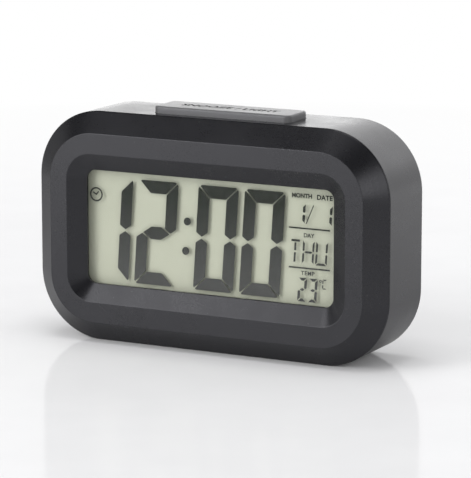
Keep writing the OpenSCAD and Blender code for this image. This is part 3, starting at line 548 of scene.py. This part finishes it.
def words(name, lines, side, origin, material, body):
    """Short words as one flat piece, each placed from the origin."""
    turn, right, up = SIDES[side]
    made = []
    for word in lines:
        curve = bpy.data.curves.new(name, "FONT")
        curve.body = word.text
        curve.align_x = "CENTER"
        curve.align_y = "CENTER"
        curve.size = word.height / CAP_SHARE * MM
        curve.space_character = word.spacing
        curve.extrude = MARK_THICK / 2
        curve.offset = word.bold * MM
        curve.resolution_u = 3
        obj = bpy.data.objects.new(name, curve)
        bpy.context.scene.collection.objects.link(obj)
        obj.rotation_euler = turn
        obj.location = origin + (right * word.right + up * word.up) * MM
        made.append(obj)
    bpy.context.view_layer.update()
    graph = bpy.context.evaluated_depsgraph_get()
    joined = bmesh.new()
    for obj in made:
        mesh = bpy.data.meshes.new_from_object(obj.evaluated_get(graph))
        mesh.transform(obj.matrix_world)
        joined.from_mesh(mesh)
        bpy.data.meshes.remove(mesh)
        bpy.data.objects.remove(obj)
    bmesh.ops.remove_doubles(joined, verts=joined.verts, dist=SAME_PLACE)
    new_piece(name, mesh_of(name, joined), material, body)


# ---------------------------------------------------------------- what the display shows

# The picture's middle, a little off the window's, just in front of the first glass's back
PICTURE = Vector((-0.26 * MM, FRONT_GLASS[1].y - 0.02 * MM, MID_Z - 0.1 * MM))
SLANT = 0.065  # how far the digits lean over, for each millimetre up

# Which of a digit's segments are dark: a top, b and c right, d bottom, e and f left, g middle
SEGMENTS = {"0": "abcdef", "1": "bc", "2": "abged", "3": "abgcd", "C": "adef", "H": "bcefg",
            "U": "bcdef"}
# A digit's size, how thick its strokes are, how far neighbours part, and how far its outer
# corners are cut, in millimetres
Form = namedtuple("Form", "width height thick gap cut")
TIME = Form(15.5, 36.9, 4.45, 0.44, 1.1)
DATE = Form(3.5, 7.1, 0.98, 0.4, 0.2)
WEEKDAY = Form(4.4, 8.3, 0.74, 0.4, 0.18)
TEMPERATURE = Form(3.3, 8.2, 0.98, 0.36, 0.2)
SMALL_C = Form(1.7, 3.4, 0.4, 0.18, 0.1)
POINTED = 0.68  # rise over run of a segment's pointed end
GAP_SHARE = 0.707  # how much of a slanting gap lies along x, or along z


def segment_outline(letter, form):
    """One segment of a digit whose lower left corner is at the origin."""
    width, height, thick, gap, cut = form
    part = GAP_SHARE * gap
    half = height / 2
    if letter == "g":
        run = thick / 2 / POINTED
        left, right = thick / 2 + part, width - thick / 2 - part
        return [(left, half), (left + run, half + thick / 2), (right - run, half + thick / 2),
                (right, half), (right - run, half - thick / 2), (left + run, half - thick / 2)]
    if letter in "ad":
        across, down = (cut + part) / 2, (cut - part) / 2
        out = [(across, height - down), (cut, height), (width - cut, height),
               (width - across, height - down), (width - thick - part, height - thick),
               (thick + part, height - thick)]
    else:
        across, down = (cut - part) / 2, (cut + part) / 2
        shoulder = half + part + POINTED * thick / 2
        out = [(0, height - cut), (across, height - down), (thick, height - thick - part),
               (thick, shoulder), (thick / 2, half + part), (0, shoulder)]
    if letter in "bc":
        out = [(width - x, z) for x, z in out]
    if letter in "ced":
        out = [(x, height - z) for x, z in out]
    return out


def digit(marks, sign, left, low, form):
    """A digit or letter whose lower left corner is at (left, low)."""
    for letter in SEGMENTS[sign]:
        marks.shape([(left + x, low + z) for x, z in segment_outline(letter, form)])


def time_digits():
    """Four tall digits and the colon between the pairs."""
    left, low = -46.8, -19.1
    pair_gap, colon_gap = 2.35, 7.85
    colon_off, dot_off, dot_radius = 0.25, 5.2, 1.4
    marks = Marks("time_digits", PICTURE, SLANT)
    x = left
    for sign, after in zip("1200", (pair_gap, colon_gap, pair_gap, 0.0)):
        digit(marks, sign, x, low, TIME)
        x += TIME.width + after
    colon_x = left + 2 * TIME.width + pair_gap + colon_gap / 2 + colon_off
    for side in (-1, 1):
        marks.disc((colon_x, low + TIME.height / 2 + side * dot_off), dot_radius)
    marks.piece(SEGMENT_INK, "case", "polarizer")


def clock_sign():
    """A small dial with two hands, at the left of the time."""
    x, z = -45.1, 11.2
    outer, inner, hand = 2.55, 2.0, 0.5
    marks = Marks("clock_sign", PICTURE)
    marks.ring((x, z), outer, inner)
    marks.bar((x - 0.12, z - 0.2), (x + 0.95, z + 1.1), hand)
    marks.bar((x, z), (x - 1.35, z + 0.75), hand)
    marks.piece(SEGMENT_INK, "case", "polarizer")


def date_row(marks):
    """1/1"""
    low = 7.5
    for left in (32.05, 42.15):
        digit(marks, "1", left, low, DATE)
    marks.bar((36.1, low + 0.1), (38.5, low + 6.7), 0.36)


def weekday_row(marks):
    """THU, with the T made of a top bar and two uprights"""
    low = -6.3
    high, middle, thick = low + WEEKDAY.height, low + WEEKDAY.height / 2, WEEKDAY.thick
    stem, half_top, half_part = 32.6, 1.6, 0.35
    marks.bar((stem - half_top, high - thick / 2), (stem + half_top, high - thick / 2), thick)
    marks.bar((stem, high - 1.1), (stem, middle + half_part), thick)
    marks.bar((stem, middle - half_part), (stem, low + 0.5), thick)
    digit(marks, "H", 35.4, low, WEEKDAY)
    digit(marks, "U", 40.4, low, WEEKDAY)


def temperature_row(marks):
    """23 and a small C, whose degree sign comes with the rules"""
    low = -19.3
    digit(marks, "2", 34.55, low, TEMPERATURE)
    digit(marks, "3", 38.55, low, TEMPERATURE)
    digit(marks, "C", 43.6, low + 4.9, SMALL_C)


def side_column():
    """Date, weekday and temperature, with a rule between them and a caption above each."""
    marks = Marks("side_digits", PICTURE, SLANT)
    date_row(marks)
    weekday_row(marks)
    temperature_row(marks)
    marks.piece(SEGMENT_INK, "case", "polarizer")
    rules = Marks("side_rules", PICTURE)
    for z in (6.0, -7.7):
        rules.bar((30.1, z), (45.6, z), 0.55)
    rules.ring((42.1, -11.7), 0.5, 0.2, sides=24)
    rules.piece(SEGMENT_INK, "case", "polarizer")
    captions = [Word("MONTH", 35.0, 17.1, 1.45, 0.09, 1.0),
                Word("DATE", 43.5, 17.0, 1.6, 0.09, 1.05),
                Word("DAY", 37.65, 3.6, 1.4, 0.05, 0.98),
                Word("TEMP", 37.3, -9.5, 1.4, 0.05, 1.1)]
    words("side_captions", captions, "front", PICTURE, SEGMENT_INK, "case")


time_digits()
clock_sign()
side_column()

# ---------------------------------------------------------------- words on the case and bar

PRINT_Y = BACK_Y + MARK_THICK / 2
CAPTION_RISE = 5.6  # from the middle of a key or the knob up to its caption, in mm
SWITCH_REACH = 3.6  # from the switch's middle to ON and OFF, in mm
KEY_WORDS = {"mode_key": "MODE", "set_key": "SET", "up_key": "+", "down_key": "-",
             "alarm_key": "ALARM"}


def back_marks():
    """Plain function words and signs by the keys and the switch, printed on the back."""
    switch, knob = node_middle("slide_switch"), node_middle("alarm_knob")
    places = [(text, node_middle(key).x / MM, node_middle(key).z / MM)
              for key, text in KEY_WORDS.items()]
    places.append(("OFF", switch.x / MM - SWITCH_REACH, knob.z / MM))
    places.append(("ON", switch.x / MM + SWITCH_REACH, knob.z / MM))
    captions = [Word(text, -x, z + CAPTION_RISE, 1.5, 0.0, 1.1) for text, x, z in places]
    words("back_captions", captions, "back", Vector((0.0, PRINT_Y, 0.0)), MARK_INK, "case")


def bar_marks():
    """What the long bar does, in dark letters along its top."""
    middle = node_middle("snooze_bar")
    top = Vector((middle.x, middle.y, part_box("snooze_bar")[1].z))
    words("bar_captions", [Word("SNOOZE / LIGHT", 0.0, 0.0, 3.4, 0.12, 1.0)], "top", top,
          DARK_INK, "snooze_body")


back_marks()
bar_marks()

# ---------------------------------------------------------------- studio

AMBIENT = 0.43  # how bright the room is for soft light
GLOSS_LOW = 1.0  # how bright it looks in a reflection, near the horizon
GLOSS_HIGH = 0.08  # and further up
GLOSS_BAND = (0.08, 0.5)  # the heights of a direction between which that changes
FLOOR_GLOSS = 1.25  # how bright the far floor looks in a reflection
FADE_SEEN = (0.24, 0.60)  # distances over which the floor turns white, in metres
FADE_MIRRORED = (0.16, 0.55)  # the same in a reflection
# A part of the room that reflections find changed: its direction, the cosines of the angle
# from it between which that sets in, and its level
Patch = namedtuple("Patch", "side start end level")
FLAGS = (  # their levels are shares of the plain one
    Patch((0.77, -0.64, 0.0), 0.25, 0.8, 0.4),
    Patch((-0.95, 0.25, -0.19), 0.8, 0.97, 0.25),
    Patch((-0.46, -0.89, 0.0), 0.7, 0.95, 1.35),
)
BACK_GLOW = Patch((0.03, 0.905, 0.42), 0.86, 0.96, 1.4)  # a wide soft glow, added to the rest
CENTRE = Vector((0.0, 0.0, 0.04))  # what the lamps point at
# Where a lamp stands, in degrees to the right of the front, degrees up and metres away,
# then its size in metres and its power
Lamp = namedtuple("Lamp", "name across up distance width height watts")
LAMPS = (
    Lamp("top_lamp", 0, 86, 1.1, 0.6, 0.6, 4.0),
    Lamp("key_low_lamp", -30, 10, 1.1, 0.6, 0.35, 3.2),
    Lamp("key_lamp", -38, 36, 1.1, 0.5, 0.5, 3.0),
    Lamp("right_front_lamp", 50, 15, 1.1, 0.5, 0.5, 1.7),
    Lamp("right_lamp", 90, 20, 1.1, 0.5, 0.5, 1.8),
    Lamp("back_right_lamp", 140, 30, 1.1, 0.5, 0.5, 0.4),
    Lamp("back_lamp", -155, 10, 1.1, 0.8, 0.3, 1.3),
)
FLOOR_HALF = 3.0
FLOOR_DROP = 0.05 * MM  # the floor lies this far under the clock, so that they don't touch
CAMERA_PLACE = Vector((0.4678, -0.8989, 0.2330))
CAMERA_AIM = Vector((0.01269, -0.0170, 0.0420))
CAMERA_LENS, CAMERA_SENSOR = 223.7, 36.0  # in millimetres


class WorldNodes(Nodes):
    """The same short calls for the world's tree, where a place is a direction."""

    def __init__(self, world):
        world.use_nodes = True
        self.tree = world.node_tree
        self.tree.nodes.clear()
        self.place = self.add("ShaderNodeTexCoord").outputs["Generated"]


def towards(n, direction, patch, elsewhere, level):
    """One level in a patch of the room and another one elsewhere."""
    cosine = n.measured("DOT_PRODUCT", direction, patch.side)
    return n.ramp(cosine, patch.start, patch.end, elsewhere, level)


def flagged(n, direction):
    """The share of the plain level that reflections find in a direction."""
    share = 1.0
    for flag in FLAGS:
        share = n.math("MULTIPLY", towards(n, direction, flag, 1.0, flag.level), share)
    return share


def reflected(n, path):
    """1 for a ray that gloss or a clear material sends out, otherwise 0."""
    return n.math("MAXIMUM", path["Is Glossy Ray"], path["Is Transmission Ray"])


def floor_paint():
    """Satin near the clock, and further out the plain white of the background."""
    n = Nodes("floor_white")
    cloudy = n.noise(30 * MM)
    shade = n.lay(rgb(0.83, 0.83, 0.84), rgb(0.85, 0.85, 0.86), cloudy)
    n.finish(shade, n.spread(cloudy, 0.09, 0.11), None, Specular_IOR_Level=0.006)
    away = n.measured("LENGTH", n.place)
    outwards = n.add("ShaderNodeVectorMath", operation="NORMALIZE")
    n.link(n.place, outwards.inputs[0])
    path = n.add("ShaderNodeLightPath").outputs
    shine = n.math("MULTIPLY", flagged(n, outwards.outputs["Vector"]), FLOOR_GLOSS)
    white = n.add("ShaderNodeEmission")
    n.link(n.between(path["Is Camera Ray"], shine, 1.0), white.inputs["Strength"])
    seen = n.ramp(away, *FADE_SEEN)
    mirrored = n.math("MULTIPLY", n.ramp(away, *FADE_MIRRORED), reflected(n, path))
    mixed = n.add("ShaderNodeMixShader")
    n.link(n.between(path["Is Camera Ray"], mirrored, seen), mixed.inputs[0])
    n.link(n.shader.outputs[0], mixed.inputs[1])
    n.link(white.outputs[0], mixed.inputs[2])
    n.link(mixed.outputs[0], n.tree.nodes["Material Output"].inputs["Surface"])
    return n.material


def white_floor():
    """A wide flat floor just under the clock."""
    half = FLOOR_HALF
    mesh = bpy.data.meshes.new("floor")
    corners = [(-half, -half, 0), (half, -half, 0), (half, half, 0), (-half, half, 0)]
    mesh.from_pydata(corners, [], [(0, 1, 2, 3)])
    mesh.materials.append(floor_paint())
    floor = bpy.data.objects.new("floor", mesh)
    floor.location.z = -FLOOR_DROP
    bpy.context.scene.collection.objects.link(floor)


def room_light():
    """Even soft light from all round, a pale horizon in reflections, white to the camera."""
    world = bpy.data.worlds.new("studio")
    bpy.context.scene.world = world
    n = WorldNodes(world)
    path = n.add("ShaderNodeLightPath").outputs
    band = n.ramp(n.axis("Z"), *GLOSS_BAND, GLOSS_LOW, GLOSS_HIGH)
    glow = towards(n, n.place, BACK_GLOW, 0.0, BACK_GLOW.level)
    in_gloss = n.math("ADD", n.math("MULTIPLY", band, flagged(n, n.place)), glow)
    unseen = n.between(reflected(n, path), AMBIENT, in_gloss)
    background = n.add("ShaderNodeBackground")
    background.inputs["Color"].default_value = grey(1.0)
    n.link(n.between(path["Is Camera Ray"], unseen, 1.0), background.inputs["Strength"])
    n.link(background.outputs[0], n.add("ShaderNodeOutputWorld").inputs["Surface"])


def stand(obj, place, aim):
    """Puts a lamp or the camera in its place, pointing along aim."""
    obj.location = place
    obj.rotation_euler = aim.to_track_quat("-Z", "Y").to_euler()
    bpy.context.scene.collection.objects.link(obj)


def lamps():
    """Soft lamps round the clock, which the camera doesn't see."""
    for lamp in LAMPS:
        across, up = math.radians(lamp.across), math.radians(lamp.up)
        aim = Vector((-math.sin(across) * math.cos(up), math.cos(across) * math.cos(up),
                      -math.sin(up)))
        data = bpy.data.lights.new(lamp.name, "AREA")
        data.shape = "RECTANGLE"
        data.size = lamp.width
        data.size_y = lamp.height
        data.energy = lamp.watts
        obj = bpy.data.objects.new(lamp.name, data)
        obj.visible_camera = False
        stand(obj, CENTRE - aim * lamp.distance, aim)


def camera():
    """The view: a long lens from the right, a little above."""
    data = bpy.data.cameras.new("camera")
    data.sensor_width = CAMERA_SENSOR
    data.lens = CAMERA_LENS
    obj = bpy.data.objects.new("camera", data)
    stand(obj, CAMERA_PLACE, CAMERA_AIM - CAMERA_PLACE)
    bpy.context.scene.camera = obj


white_floor()
room_light()
lamps()
camera()

bpy.context.scene.view_settings.view_transform = "Standard"
